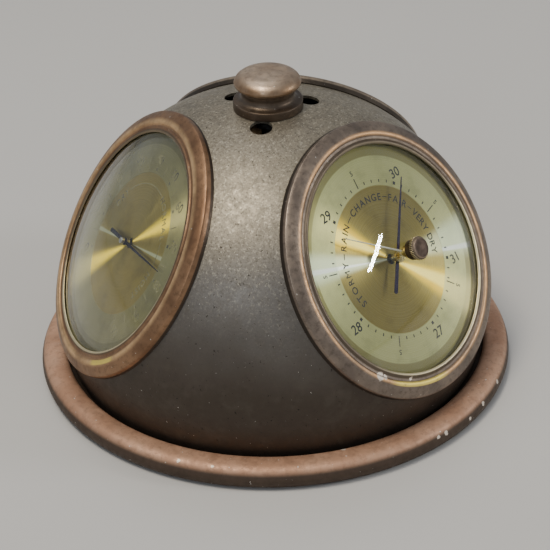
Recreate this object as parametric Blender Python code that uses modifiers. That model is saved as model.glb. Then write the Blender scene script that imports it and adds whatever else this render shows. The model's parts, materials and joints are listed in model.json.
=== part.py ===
"""Desk weather station.

A spun bronze dome stands on a round base ring.  A barometer, a hygrometer and a
thermometer are set into the dome at 120 degrees to each other, each with a turned
bezel and a convex glass, and a turned finial with a nut holds the dome's crown.

Lengths below are in millimetres and are turned into metres when a shape is made.
The Z axis is the dome's axis, Z = 0 is the table, and the barometer faces -Y.
In an instrument's own axes X is to its right, Y is up its dial and Z is out of it,
with Z = 0 on the face of the dial.
"""
from math import asin, cos, degrees, pi, radians, sin, sqrt

import bmesh
import bpy
from mathutils import Matrix, Vector

MM = 0.001
GAP = 0.3                     # clearance kept between neighbouring pieces

# ---- dome and base -----------------------------------------------------------
DOME_R = 89.6                 # outer radius of the sphere that the dome is part of
DOME_CENTRE_Z = 29.5
CROWN_R = 34.0                # inside this radius the crown is a little flatter than the sphere
CROWN_DROP = 0.75
DOME_WALL = 1.2
DOME_BOTTOM_Z = 4.9
DOME_STEPS = 48
DOME_ARC_STEPS = 12
CROWN_HOLE_R = 4.5
VENT_R = 4.5                  # three air holes round the finial
VENT_CIRCLE_R = 17.3

RING_R = 100.0                # base ring, outside
RING_INNER_R = 89.0
RING_TOP_Z = 10.0
RING_BOTTOM_Z = 0.5
SEAT_R = 82.0                 # inner edge of the ledge that the dome stands on
SEAT_TOP_Z = 4.6
SEAT_BOTTOM_Z = 3.0
PLATE_R = 87.2
PLATE_Z = (1.5, 2.7)
FELT_R = 86.5
FELT_Z = (0.0, 1.2)

SCREW_CIRCLE_R = 76.0
SCREW_HEAD_R = 3.6
SCREW_HEAD_Z = (0.5, 1.2)
SCREW_SHANK_R = 1.7
SCREW_TOP_Z = 10.0
SCREW_ROOM = 0.4              # radial clearance round a screw's shank
BRACKET_SIZE = (13.0, 11.6, 7.0)
BRACKET_CENTRE_R = 78.2
BRACKET_BOTTOM_Z = 5.1

# ---- finial ------------------------------------------------------------------
FINIAL_BASE_R = 14.1
FINIAL_BASE_EDGE = 3.3        # height of the finial's foot at its rim
FINIAL_TOP_Z = 132.6
STUD_R = 3.0
STUD_Z = (97.0, 123.2)
WASHER_R = 9.0
WASHER_Z = (114.6, 115.9)
NUT_R = 6.2
NUT_Z = (109.7, 114.3)

# ---- instruments -------------------------------------------------------------
TILT = 32.0                   # how far the dials look up, in degrees
DIAL_CENTRE_R = 61.6          # dial face centre, from the dome's axis
DIAL_CENTRE_Z = 68.06
AZIMUTHS = {"barometer": 0.0, "hygrometer": -120.0, "thermometer": 120.0}
OPENING_R = 51.5              # hole in the dome for each instrument

CASE_R = 47.6
CASE_WALL = 1.0
CASE_RIM_R = 50.0
CASE_FLOOR_Z = -24.0
CASE_STEPS = 28
AIR_HOLE_R = 3.0
AIR_HOLE_CIRCLE_R = 36.0
DIAL_R = 48.7
DIAL_THICKNESS = 0.8
ARBOR_HOLE_R = 2.2
LIP_R = 46.3                  # edge of the bezel over the glass
LIP_Z = 3.0
LIP_THICKNESS = 0.4
CREST_R = 50.5
CREST_Z = 3.2
BEZEL_R = 56.3
BEZEL_EDGE_Z = 0.7            # where the crown turns down into the side wall
BEZEL_BOTTOM_Z = -2.6
BEZEL_STEPS = 40
SKIRT_R = (50.3, 51.2)
SKIRT_BOTTOM_Z = -6.0
GLASS_R = 49.8
GLASS_RIM_Z = (1.0, 2.3)
GLASS_CENTRE_Z = (9.8, 11.2)
GLASS_CROWN_R = 46.2
GLASS_STEPS = 28

# ---- hands and arbors ----------------------------------------------------------
HAND_THICKNESS = 0.4
BAROMETER_HAND = {"tip": 34.0, "tail": 15.2, "z": 3.4, "angle": 39.0}
AIR_HAND = {"tip": 35.5, "tail": 15.2, "z": 2.1, "angle": 81.0}
HEAT_HAND = {"tip": 35.5, "tail": 15.2, "z": 2.1, "angle": -20.0}
ARBOR_R = 0.6
ARBOR_ROOM = 0.3

SET_AXIS = (0.6, 1.1)         # the setting knob's axis on the dial, off its centre
SET_HAND_LENGTH = 29.3
SET_HAND_ANGLE = -53.5
SET_HAND_Z = 8.0
SET_HAND_FALL = 6.2           # how far the hand slopes down to its tip, in degrees
SET_HAND_R = 0.38
SET_STEM_R = 0.8
SET_STEM_Z = (7.0, 14.6)
SET_KNOB_R = 4.75
SET_KNOB_Z = (11.7, 17.2)
SET_COLLAR_R = 4.15
BUSH_R = (1.1, 1.9)
BUSH_Z = (8.9, 12.2)
BUSH_FLANGE_R = 3.0

# ---- aneroid movement ----------------------------------------------------------
FRAME_R = 44.0
FRAME_Z = (-22.7, -21.5)
CAPSULE_R = 23.0
CAPSULE_Z = (-21.2, -16.4)
CAPSULE_STUD_R = 2.0
CAPSULE_STUD_TOP_Z = -14.3
SPRING_WIDTH = 16.0
SPRING_THICKNESS = 1.0
SPRING_BOW_Y = 36.0
SPRING_FOOT_Y = 27.0
SPRING_ARM_Y = -5.0
SPRING_Z = (-21.2, -12.9)
ADJUST_Y = 31.5
LEVER_X = (2.0, 6.0)
LEVER_Y = (-34.5, 2.0)
LEVER_Z = (-12.6, -11.6)
LINK_XY = (4.0, -33.0)
ROCKER_Y = -36.5
ROCKER_Z = -19.0
ROCKER_SHAFT_R = 1.0
ROCKER_PIN_R = 0.5
ROCKER_HALF = 12.9
ROCKER_ARM_X = (-2.0, -0.8)
ROCKER_ARM_TOP_Z = -7.2
ROCKER_ARM_HALF = 0.8         # half the thickness of the rocker's arms
BRACKET_CHEEK_X = 13.3
BRACKET_CHEEK_THICKNESS = 1.2
CHAIN_X = -1.5
CHAIN_Z = -7.6
CHAIN_R = 0.2
CHAIN_ROOM = 1.35             # from the chain's end to the rocker's arm, which swings towards it
PULLEY_R = 0.8
PULLEY_Z = (-8.4, -6.8)
BRIDGE_HALF = 26.0            # from the centre to a bridge's legs
BRIDGE_WIDTH = 11.0
BRIDGE_THICKNESS = 1.2
BRIDGE_FOOT = 6.0
HAIRSPRING_R = (1.5, 6.6)
HAIRSPRING_Z = (-3.4, -2.4)

# ---- coil movements ------------------------------------------------------------
COIL_R = (3.6, 15.0)
COIL_Z = (-17.0, -11.0)
COIL_THICKNESS = 0.5
COIL_TURNS = 3
COIL_BRIDGE_Z = -6.0
PIVOT_R = 3.0
PIVOT_Z = (-22.7, -19.4)


# ---- scene, materials and small helpers ------------------------------------------
def clear_scene():
    for thing in list(bpy.data.objects):
        bpy.data.objects.remove(thing, do_unlink=True)


def new_collection(name):
    collection = bpy.data.collections.new(name)
    bpy.context.scene.collection.children.link(collection)
    return collection


def make_material(name, colour, metallic, roughness, alpha=1.0):
    material = bpy.data.materials.new(name)
    material.use_nodes = True
    shader = material.node_tree.nodes["Principled BSDF"]
    shader.inputs["Base Color"].default_value = (*colour, 1.0)
    shader.inputs["Metallic"].default_value = metallic
    shader.inputs["Roughness"].default_value = roughness
    shader.inputs["Alpha"].default_value = alpha
    return material


def add_object(name, data, material, parent=None, collection=None):
    """Put a mesh or curve in the scene as a named piece of the object."""
    thing = bpy.data.objects.new(name, data)
    (collection or PARTS).objects.link(thing)
    if material is not None:
        data.materials.append(material)
    thing.parent = parent
    return thing


def metres(points):
    return [tuple(value * MM for value in point) for point in points]


def arc(centre, radius, start, end, steps):
    """Points on an arc in a plane, from start to end in degrees."""
    angles = [radians(start + (end - start) * i / steps) for i in range(steps + 1)]
    return [(centre[0] + radius * cos(a), centre[1] + radius * sin(a)) for a in angles]


def turned(name, profile, steps, material, parent=None, closed=False):
    """A solid of revolution about Z.  The profile is (radius, height) and runs down
    the outer side; a closed one makes a ring, an open one starts and ends on the axis."""
    mesh = bpy.data.meshes.new(name)
    vertices = metres((r, 0.0, z) for r, z in profile)
    edges = [(i, i + 1) for i in range(len(profile) - 1)]
    if closed:
        edges.append((len(profile) - 1, 0))
    mesh.from_pydata(vertices, edges, [])
    thing = add_object(name, mesh, material, parent)
    screw = thing.modifiers.new("turn", "SCREW")
    screw.axis = "Z"
    screw.steps = steps
    screw.render_steps = steps
    screw.use_merge_vertices = True
    screw.merge_threshold = 0.00001
    screw.use_smooth_shade = True
    return thing


def ring_profile(inner_r, outer_r, bottom_z, top_z):
    return [(outer_r, top_z), (outer_r, bottom_z), (inner_r, bottom_z), (inner_r, top_z)]


def rod_profile(radius, bottom_z, top_z):
    return [(0.0, top_z), (radius, top_z), (radius, bottom_z), (0.0, bottom_z)]


def cutter_rod(name, radius, bottom_z, top_z, place, steps=24):
    """A closed cylinder used only to cut other pieces."""
    mesh = bpy.data.meshes.new(name)
    shape = bmesh.new()
    bmesh.ops.create_cone(shape, cap_ends=True, segments=steps, radius1=radius * MM,
                          radius2=radius * MM, depth=(top_z - bottom_z) * MM)
    bmesh.ops.translate(shape, verts=shape.verts, vec=(0, 0, (top_z + bottom_z) / 2 * MM))
    shape.to_mesh(mesh)
    shape.free()
    thing = add_object(name, mesh, None, None, CUTTERS)
    thing.matrix_world = place
    thing.hide_render = True
    thing.display_type = "WIRE"
    return thing


def boolean(thing, other, operation="DIFFERENCE"):
    modifier = thing.modifiers.new(other.name, "BOOLEAN")
    modifier.operation = operation
    modifier.solver = "EXACT"
    modifier.object = other


def box(name, low, high, material, parent=None, collection=None):
    mesh = bpy.data.meshes.new(name)
    shape = bmesh.new()
    bmesh.ops.create_cube(shape, size=1.0)
    size = [(b - a) * MM for a, b in zip(low, high)]
    centre = [(a + b) / 2 * MM for a, b in zip(low, high)]
    bmesh.ops.scale(shape, vec=size, verts=shape.verts)
    bmesh.ops.translate(shape, vec=centre, verts=shape.verts)
    shape.to_mesh(mesh)
    shape.free()
    return add_object(name, mesh, material, parent, collection)


def outline(name, loops, thickness, material, parent=None, matrix=Matrix()):
    """A flat piece: closed outlines in its own XY plane, given a thickness."""
    curve = bpy.data.curves.new(name, "CURVE")
    curve.dimensions = "2D"
    curve.fill_mode = "BOTH"
    curve.extrude = thickness / 2 * MM
    for loop in loops:
        spline = curve.splines.new("POLY")
        spline.points.add(len(loop) - 1)
        for point, (x, y) in zip(spline.points, loop):
            point.co = (x * MM, y * MM, 0.0, 1.0)
        spline.use_cyclic_u = True
    thing = add_object(name, curve, material, parent)
    thing.matrix_local = matrix
    return thing


def spiral_strip(name, inner_r, outer_r, turns, low_z, high_z, thickness, material, parent):
    """A flat spring wound in a spiral, standing on edge round the Z axis."""
    curve = bpy.data.curves.new(name, "CURVE")
    curve.dimensions = "2D"
    curve.fill_mode = "NONE"
    curve.extrude = (high_z - low_z) / 2 * MM
    steps = turns * 14
    spline = curve.splines.new("POLY")
    spline.points.add(steps)
    for i, point in enumerate(spline.points):
        angle = 2 * pi * turns * i / steps
        radius = (inner_r + (outer_r - inner_r) * i / steps) * MM
        point.co = (radius * cos(angle), radius * sin(angle), 0.0, 1.0)
    thing = add_object(name, curve, material, parent)
    thing.location.z = (high_z + low_z) / 2 * MM
    wall = thing.modifiers.new("wall", "SOLIDIFY")
    wall.thickness = thickness * MM
    wall.offset = 0.0
    return thing


def empty(name, matrix):
    thing = bpy.data.objects.new(name, None)
    PARTS.objects.link(thing)
    thing.matrix_world = matrix
    return thing


def place(x, y, z, turn=0.0):
    """A place in millimetres, turned about Z by some degrees."""
    return Matrix.Translation(Vector((x, y, z)) * MM) @ Matrix.Rotation(radians(turn), 4, "Z")


def crown_drop(radius):
    """How far the flattened crown lies below the sphere."""
    return CROWN_DROP * (1 - (radius / CROWN_R) ** 4) ** 2 if radius < CROWN_R else 0.0


def dome_height(radius, sphere_r=DOME_R):
    return DOME_CENTRE_Z + sqrt(sphere_r ** 2 - radius ** 2) - crown_drop(radius)


def instrument_matrix(azimuth):
    """Where an instrument sits: out along its azimuth, looking up by TILT."""
    turn = Matrix.Rotation(radians(azimuth), 4, "Z")
    lean = Matrix.Rotation(radians(90.0 - TILT), 4, "X")
    return turn @ Matrix.Translation(Vector((0, -DIAL_CENTRE_R, DIAL_CENTRE_Z)) * MM) @ lean


# ---- dome, base and finial -----------------------------------------------------------
def dome_profile():
    inner_r = DOME_R - DOME_WALL
    top = degrees(asin(sqrt(1 - (CROWN_HOLE_R / DOME_R) ** 2)))
    low = degrees(asin((DOME_BOTTOM_Z - DOME_CENTRE_Z) / DOME_R))
    low_inner = degrees(asin((DOME_BOTTOM_Z - DOME_CENTRE_Z) / inner_r))
    outside = arc((0.0, DOME_CENTRE_Z), DOME_R, top, low, DOME_ARC_STEPS)
    inside = arc((0.0, DOME_CENTRE_Z), inner_r, low_inner, top, DOME_ARC_STEPS)
    return [(r, z - crown_drop(r)) for r, z in outside + inside]


def make_dome():
    dome = turned("dome_shell", dome_profile(), DOME_STEPS, BRONZE, closed=True)
    for name, azimuth in AZIMUTHS.items():
        cutter = cutter_rod(name + "_opening", OPENING_R, -20.0, 25.0, instrument_matrix(azimuth), 48)
        boolean(dome, cutter)
        vent = Matrix.Rotation(radians(azimuth + 60.0), 4, "Z") @ place(0, -VENT_CIRCLE_R, 0)
        boolean(dome, cutter_rod(name + "_vent", VENT_R, 108.0, 126.0, vent, 16))


def make_base():
    middle_r = (RING_R + RING_INNER_R) / 2
    crown = [(RING_INNER_R, RING_TOP_Z - 1.2), (RING_INNER_R + 1.6, RING_TOP_Z - 0.3),
             (middle_r - 0.5, RING_TOP_Z), (middle_r + 2.6, RING_TOP_Z - 0.8),
             (RING_R - 1.3, RING_TOP_Z - 2.4)]
    side = [(RING_R, 5.0), (RING_R - 0.7, 2.0), (RING_R - 2.4, RING_BOTTOM_Z)]
    ledge = [(PLATE_R + 0.4, RING_BOTTOM_Z), (PLATE_R + 0.4, SEAT_BOTTOM_Z), (SEAT_R, SEAT_BOTTOM_Z),
             (SEAT_R, SEAT_TOP_Z), (RING_INNER_R, SEAT_TOP_Z)]
    turned("base_ring", crown + side + ledge, DOME_STEPS, BRONZE, closed=True)
    plate = turned("base_plate", rod_profile(PLATE_R, *PLATE_Z), 36, STEEL)
    felt = turned("felt_pad", rod_profile(FELT_R, *FELT_Z), 36, FELT)
    for number, azimuth in enumerate((-60.0, 60.0, 180.0), 1):
        turn = Matrix.Rotation(radians(azimuth), 4, "Z")
        spot = turn @ place(0, -SCREW_CIRCLE_R, 0)
        hole_r = SCREW_SHANK_R + SCREW_ROOM
        boolean(plate, cutter_rod(f"plate_hole_{number}", hole_r, 0.0, 5.0, spot, 16))
        boolean(felt, cutter_rod(f"felt_hole_{number}", SCREW_HEAD_R + 0.9, -2.0, 3.0, spot, 16))
        width, depth, height = BRACKET_SIZE
        low = (-width / 2, -BRACKET_CENTRE_R - depth / 2, BRACKET_BOTTOM_Z)
        high = (width / 2, -BRACKET_CENTRE_R + depth / 2, BRACKET_BOTTOM_Z + height)
        bracket = box(f"dome_bracket_{number}", low, high, STEEL)
        bracket.matrix_world = turn
        boolean(bracket, cutter_rod(f"bracket_hole_{number}", hole_r, 0.0, SCREW_TOP_Z + 0.6, spot, 16))
        screw = [(0.0, SCREW_TOP_Z), (SCREW_SHANK_R, SCREW_TOP_Z), (SCREW_SHANK_R, SCREW_HEAD_Z[1]),
                 (SCREW_HEAD_R, SCREW_HEAD_Z[1]), (SCREW_HEAD_R - 0.5, SCREW_HEAD_Z[0]),
                 (0.0, SCREW_HEAD_Z[0])]
        turned(f"base_screw_{number}", screw, 16, STEEL).matrix_world = spot


def make_finial():
    foot_z = dome_height(FINIAL_BASE_R) + GAP
    rim_z = foot_z + FINIAL_BASE_EDGE
    top = FINIAL_TOP_Z
    cap = [(0.0, top), (8.0, top - 0.2), (11.2, top - 1.1), (13.0, top - 2.7), (13.5, top - 4.1),
           (13.0, top - 5.2), (11.8, top - 5.9)]
    neck = [(11.0, rim_z + 4.3), (10.7, rim_z + 2.9), (11.0, rim_z + 1.5), (12.2, rim_z + 0.4),
            (FINIAL_BASE_R, rim_z)]
    under = [(FINIAL_BASE_R, foot_z), (9.0, dome_height(9.0) + GAP),
             (STUD_R + GAP, dome_height(STUD_R) + GAP), (STUD_R + GAP, STUD_Z[1] + GAP),
             (0.0, STUD_Z[1] + GAP)]
    turned("finial", cap + neck + under, 24, BRONZE)
    turned("finial_stud", rod_profile(STUD_R, *STUD_Z), 16, STEEL)
    bore = STUD_R + GAP
    turned("finial_washer", ring_profile(bore, WASHER_R, *WASHER_Z), 24, STEEL, closed=True)
    hexagon = arc((0.0, 0.0), NUT_R, 0.0, 300.0, 5)
    thread = arc((0.0, 0.0), bore, 0.0, 337.5, 15)
    nut_height = NUT_Z[1] - NUT_Z[0]
    outline("finial_nut", [hexagon, thread], nut_height, STEEL, matrix=place(0, 0, sum(NUT_Z) / 2))


# ---- one instrument's housing ----------------------------------------------------------
def bezel_profile():
    """A bead over the glass, a cove, a rounded crest and a side wall down to the dome."""
    bead = [(LIP_R, LIP_Z), (LIP_R + 0.9, LIP_Z + 0.25), (LIP_R + 2.1, LIP_Z - 0.4)]
    crest = [(CREST_R - 0.8, CREST_Z - 0.3), (CREST_R, CREST_Z), (CREST_R + 2.2, CREST_Z - 0.4),
             (CREST_R + 4.4, CREST_Z - 1.3), (BEZEL_R, BEZEL_EDGE_Z), (BEZEL_R, BEZEL_BOTTOM_Z)]
    under = [(BEZEL_R - 1.0, BEZEL_BOTTOM_Z + 0.9), (SKIRT_R[1], 1.2)]
    skirt = [(SKIRT_R[1], SKIRT_BOTTOM_Z), (SKIRT_R[0], SKIRT_BOTTOM_Z),
             (SKIRT_R[0], LIP_Z - LIP_THICKNESS), (LIP_R, LIP_Z - LIP_THICKNESS)]
    return bead + crest + under + skirt


def crown_height(radius, top_z):
    """Height of the glass's sphere at a radius, for a crown that ends at GLASS_CROWN_R."""
    drop = GLASS_CENTRE_Z[1] - GLASS_RIM_Z[1]
    sphere_r = (GLASS_CROWN_R ** 2 + drop ** 2) / (2 * drop)
    return top_z - sphere_r + sqrt(sphere_r ** 2 - radius ** 2)


def glass_profile():
    radii = [GLASS_CROWN_R * i / 4 for i in range(5)]
    top = [(r, crown_height(r, GLASS_CENTRE_Z[1])) for r in radii]
    rim = [(GLASS_R, GLASS_RIM_Z[1]), (GLASS_R, GLASS_RIM_Z[0]), (46.8, GLASS_RIM_Z[0])]
    under = [(r, crown_height(r, GLASS_CENTRE_Z[0])) for r in reversed(radii)]
    return top + rim + under


def case_profile():
    inner_r = CASE_R - CASE_WALL
    ledge_z = -DIAL_THICKNESS - GAP
    rim_inner_r = CASE_RIM_R - CASE_WALL
    floor_top_z = CASE_FLOOR_Z + CASE_WALL
    inside = [(0.0, floor_top_z), (inner_r, floor_top_z), (inner_r, ledge_z), (rim_inner_r, ledge_z)]
    rim = [(rim_inner_r, 0.0), (CASE_RIM_R, 0.0), (CASE_RIM_R, ledge_z - CASE_WALL)]
    outside = [(CASE_R, ledge_z - CASE_WALL), (CASE_R, CASE_FLOOR_Z), (0.0, CASE_FLOOR_Z)]
    return inside + rim + outside


def make_housing(name, seat):
    turned(name + "_bezel", bezel_profile(), BEZEL_STEPS, COPPER, seat, closed=True)
    glass = turned(name + "_glass", glass_profile(), GLASS_STEPS, GLASS, seat)
    case = turned(name + "_case", case_profile(), CASE_STEPS, BRASS, seat)
    gasket = ring_profile(47.0, 49.7, GAP, GLASS_RIM_Z[0] - GAP)
    turned(name + "_gasket", gasket, CASE_STEPS, RUBBER, seat, closed=True)
    dial = ring_profile(ARBOR_HOLE_R, DIAL_R, -DIAL_THICKNESS, 0.0)
    turned(name + "_dial", dial, CASE_STEPS, DIAL_GOLD, seat, closed=True)
    return case, glass


def make_bridge(name, seat, top_z, foot_z, half):
    """A strap that stands over a movement and carries the upper end of its arbor."""
    t = BRIDGE_THICKNESS
    right = [(half, foot_z + t), (half + BRIDGE_FOOT, foot_z + t), (half + BRIDGE_FOOT, foot_z),
             (half - t, foot_z), (half - t, top_z - t)]
    left = [(-x, z) for x, z in reversed(right)]
    strap = [(half, top_z)] + right + left + [(-half, top_z)]
    upright = Matrix.Rotation(radians(90.0), 4, "X")
    bridge = outline(name + "_strap", [strap], BRIDGE_WIDTH, BRASS, seat, upright)
    bridge = as_mesh(bridge, name)
    hole_r = ARBOR_R + ARBOR_ROOM
    cutter = cutter_rod(name + "_hole", hole_r, top_z - 3.0, top_z + 1.0, seat.matrix_world, 16)
    boolean(bridge, cutter)


def as_mesh(thing, name):
    """Turn a curve piece into a welded mesh piece, so that it can be cut or joined."""
    bpy.context.view_layer.update()
    evaluated = thing.evaluated_get(bpy.context.evaluated_depsgraph_get())
    mesh = bpy.data.meshes.new_from_object(evaluated)
    shape = bmesh.new()
    shape.from_mesh(mesh)
    bmesh.ops.remove_doubles(shape, verts=shape.verts, dist=0.00001)
    shape.to_mesh(mesh)
    shape.free()
    mesh.name = name
    copy = bpy.data.objects.new(name, mesh)
    PARTS.objects.link(copy)
    copy.parent = thing.parent
    copy.matrix_local = thing.matrix_local.copy()
    bpy.data.objects.remove(thing, do_unlink=True)
    return copy


def hand_outline(tip, tail):
    """A slim blade along +Y with a round boss and a counterweight tail."""
    tail_end = arc((0.0, -tail + 0.95), 0.95, 200.0, 340.0, 5)
    boss_right = arc((0.0, 0.0), 1.5, -55.0, 60.0, 5)
    boss_left = arc((0.0, 0.0), 1.5, 120.0, 235.0, 5)
    blade = [(0.62, 6.0), (0.22, tip), (-0.22, tip), (-0.62, 6.0)]
    hole = arc((0.0, 0.0), ARBOR_R + ARBOR_ROOM, 0.0, 330.0, 11)
    return [tail_end + boss_right + blade + boss_left, hole]


def make_hand(name, seat, hand):
    """The hand turns in a place of its own, so that its origin is on the arbor's axis."""
    spot = place(0, 0, hand["z"] + HAND_THICKNESS / 2, -hand["angle"])
    outline(name, hand_outline(hand["tip"], hand["tail"]), HAND_THICKNESS, BLUED, seat, spot)


# ---- barometer movement ---------------------------------------------------------------
def corrugated(radius, low_z, high_z, waves):
    """One rippled side of the capsule, from its edge to its stud."""
    span = radius - CAPSULE_STUD_R - 1.0
    points = []
    for i in range(2 * waves + 1):
        r = radius - 1.0 - span * i / (2 * waves)
        points.append((r, high_z if i % 2 else low_z))
    return points


def make_capsule(seat):
    bottom, top = CAPSULE_Z
    middle = (bottom + top) / 2
    upper = [(0.0, CAPSULE_STUD_TOP_Z), (CAPSULE_STUD_R, CAPSULE_STUD_TOP_Z), (CAPSULE_STUD_R, top)]
    upper += list(reversed(corrugated(CAPSULE_R, top - 0.5, top, 3)))
    edge = [(CAPSULE_R, middle + 1.2), (CAPSULE_R, middle - 1.2)]
    lower = [(CAPSULE_R - 1.0, bottom), (0.0, bottom)]
    turned("barometer_capsule", upper + edge + lower, 24, BRASS, seat)


def spring_outline():
    """Foot, bow and arm of the C spring, in the plane (up the dial, out of the dial)."""
    t = SPRING_THICKNESS
    centre = (SPRING_BOW_Y, (SPRING_Z[0] + SPRING_Z[1]) / 2)
    outer_r = (SPRING_Z[1] - SPRING_Z[0]) / 2
    outer = [(SPRING_FOOT_Y, SPRING_Z[0])] + arc(centre, outer_r, -90.0, 90.0, 8)
    inner = arc(centre, outer_r - t, 90.0, -90.0, 8) + [(SPRING_FOOT_Y, SPRING_Z[0] + t)]
    return outer + [(SPRING_ARM_Y, SPRING_Z[1]), (SPRING_ARM_Y, SPRING_Z[1] - t)] + inner


def sideways():
    """Turns an outline drawn in XY so that its X runs up the dial and its Y out of it."""
    return Matrix.Rotation(radians(90.0), 4, "Z") @ Matrix.Rotation(radians(90.0), 4, "X")


def make_rocker(seat):
    """Shaft on two pins, with a tall arm for the chain and a short one for the link."""
    shaft = [(0.0, ROCKER_HALF + 2.2), (ROCKER_PIN_R, ROCKER_HALF + 2.2), (ROCKER_PIN_R, ROCKER_HALF),
             (ROCKER_SHAFT_R, ROCKER_HALF)]
    shaft += [(r, -x) for r, x in reversed(shaft)]
    along_x = Matrix.Rotation(radians(90.0), 4, "Y")
    rocker = turned("barometer_rocker", shaft, 16, STEEL, seat)
    rocker.matrix_local = place(0, ROCKER_Y, ROCKER_Z) @ along_x
    tall = box("rocker_tall_arm", (ROCKER_ARM_X[0], -ROCKER_ARM_HALF, 0.0),
               (ROCKER_ARM_X[1], ROCKER_ARM_HALF, ROCKER_ARM_TOP_Z - ROCKER_Z), None, seat, CUTTERS)
    short = box("rocker_short_arm", (LINK_XY[0] - 1.0, 0.0, -ROCKER_ARM_HALF),
                (LINK_XY[0] + 1.0, LINK_XY[1] - ROCKER_Y + 1.0, 0.4), None, seat, CUTTERS)
    for arm in (tall, short):
        arm.matrix_local = place(0, ROCKER_Y, ROCKER_Z)
        arm.hide_render = True
        arm.display_type = "WIRE"
        boolean(rocker, arm, "UNION")


def make_rocker_bracket(seat):
    x, t = BRACKET_CHEEK_X, BRACKET_CHEEK_THICKNESS
    floor_z = FRAME_Z[1] + GAP
    top_z = ROCKER_Z + 1.8
    profile = [(x, floor_z + 0.5), (x, top_z), (x + t, top_z), (x + t, floor_z)]
    profile += [(-a, b) for a, b in reversed(profile)]
    upright = place(0, ROCKER_Y, 0) @ Matrix.Rotation(radians(90.0), 4, "X")
    bracket = outline("bracket_strip", [profile], 6.0, BRASS, seat, upright)
    bracket = as_mesh(bracket, "barometer_rocker_bracket")
    across = seat.matrix_world @ place(0, ROCKER_Y, ROCKER_Z) @ Matrix.Rotation(radians(90.0), 4, "Y")
    boolean(bracket, cutter_rod("rocker_pin_hole", ROCKER_PIN_R + GAP, -20.0, 20.0, across, 12))


def make_barometer_movement(seat, case):
    frame = turned("barometer_frame", rod_profile(FRAME_R, *FRAME_Z), CASE_STEPS, BRASS, seat)
    make_capsule(seat)
    outline("barometer_mainspring", [spring_outline()], SPRING_WIDTH, STEEL, seat, sideways())
    box("barometer_lever", (LEVER_X[0], LEVER_Y[0], LEVER_Z[0]), (LEVER_X[1], LEVER_Y[1], LEVER_Z[1]),
        BRASS, seat)
    link = rod_profile(0.35, ROCKER_Z + 0.4 + GAP, LEVER_Z[0] - GAP)
    turned("barometer_link", link, 8, STEEL, seat).matrix_local = place(*LINK_XY, 0)
    make_rocker(seat)
    make_rocker_bracket(seat)
    chain_end = -ROCKER_Y - ROCKER_ARM_HALF - CHAIN_ROOM
    chain = turned("barometer_chain", rod_profile(CHAIN_R, 0.5, chain_end), 8, STEEL, seat)
    chain.matrix_local = place(CHAIN_X, 0, CHAIN_Z) @ Matrix.Rotation(radians(90.0), 4, "X")
    make_bridge("barometer_bridge", seat, -4.3, FRAME_Z[1] + GAP, BRIDGE_HALF)
    spiral_strip("barometer_hairspring", *HAIRSPRING_R, 3, *HAIRSPRING_Z, 0.2, STEEL, seat)
    arbor = [(0.0, 3.8), (ARBOR_R, 3.8), (ARBOR_R, 3.1), (1.45, 3.1), (1.45, 1.4), (ARBOR_R, 1.4),
             (ARBOR_R, PULLEY_Z[1]), (PULLEY_R, PULLEY_Z[1]), (PULLEY_R, PULLEY_Z[0]),
             (ARBOR_R, PULLEY_Z[0]), (ARBOR_R, PULLEY_Z[0] - 1.4), (0.0, PULLEY_Z[0] - 1.4)]
    turned("barometer_arbor", arbor, 16, STEEL, seat)
    screw = [(0.0, -21.7), (1.2, -21.7), (1.2, CASE_FLOOR_Z - GAP), (3.2, CASE_FLOOR_Z - GAP),
             (3.2, CASE_FLOOR_Z - 1.6), (0.0, CASE_FLOOR_Z - 1.6)]
    turned("barometer_adjusting_screw", screw, 16, STEEL, seat).matrix_local = place(0, ADJUST_Y, 0)
    spot = seat.matrix_world @ place(0, ADJUST_Y, 0)
    boolean(case, cutter_rod("case_screw_hole", 1.6, -26.0, -22.85, spot, 12))
    boolean(frame, cutter_rod("frame_screw_hole", 1.6, -22.85, -21.0, spot, 12))


def make_setting_hand(seat, glass):
    """The hand that is set by the knob on the glass, to mark an earlier reading."""
    axis = place(*SET_AXIS, 0)
    hole = seat.matrix_world @ axis
    boolean(glass, cutter_rod("glass_hole", BUSH_R[1] + GAP, 5.0, 16.0, hole, 20))
    low, high = BUSH_Z
    bush = [(BUSH_R[0], high), (BUSH_FLANGE_R, high), (BUSH_FLANGE_R, high - 0.6),
            (BUSH_R[1], high - 0.6), (BUSH_R[1], low + 0.4), (2.6, low + 0.4), (2.6, low),
            (BUSH_R[0], low)]
    turned("set_bush", bush, 20, BRASS, seat, closed=True).matrix_local = axis
    stem_low, stem_high = SET_STEM_Z
    stem = [(0.0, stem_high), (SET_STEM_R, stem_high), (SET_STEM_R, SET_HAND_Z + 0.5),
            (1.5, SET_HAND_Z + 0.5), (1.5, stem_low), (0.0, stem_low)]
    turned("set_stem", stem, 16, BRASS, seat).matrix_local = axis
    bottom, top = SET_KNOB_Z
    recess_r, bore_r = BUSH_FLANGE_R + GAP + 0.1, SET_STEM_R + GAP
    grip = [(0.0, top), (SET_KNOB_R - 0.9, top), (SET_KNOB_R - 0.3, top - 0.2), (SET_KNOB_R, top - 0.6),
            (SET_KNOB_R, top - 2.3), (SET_COLLAR_R, top - 2.5), (SET_COLLAR_R, bottom)]
    inside = [(recess_r, bottom), (recess_r, high + GAP), (bore_r, high + GAP),
              (bore_r, stem_high + GAP), (0.0, stem_high + GAP)]
    turned("set_knob", grip + inside, 24, BRONZE, seat).matrix_local = axis
    rod = [(0.0, SET_HAND_LENGTH), (0.15, SET_HAND_LENGTH), (SET_HAND_R, 3.0), (SET_HAND_R, 1.8),
           (0.0, 1.8)]
    hand = turned("set_hand", rod, 8, BRASS, seat)
    slope = Matrix.Rotation(radians(-90.0 - SET_HAND_FALL), 4, "X")
    hand.matrix_local = place(*SET_AXIS, SET_HAND_Z, -SET_HAND_ANGLE) @ slope


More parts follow.
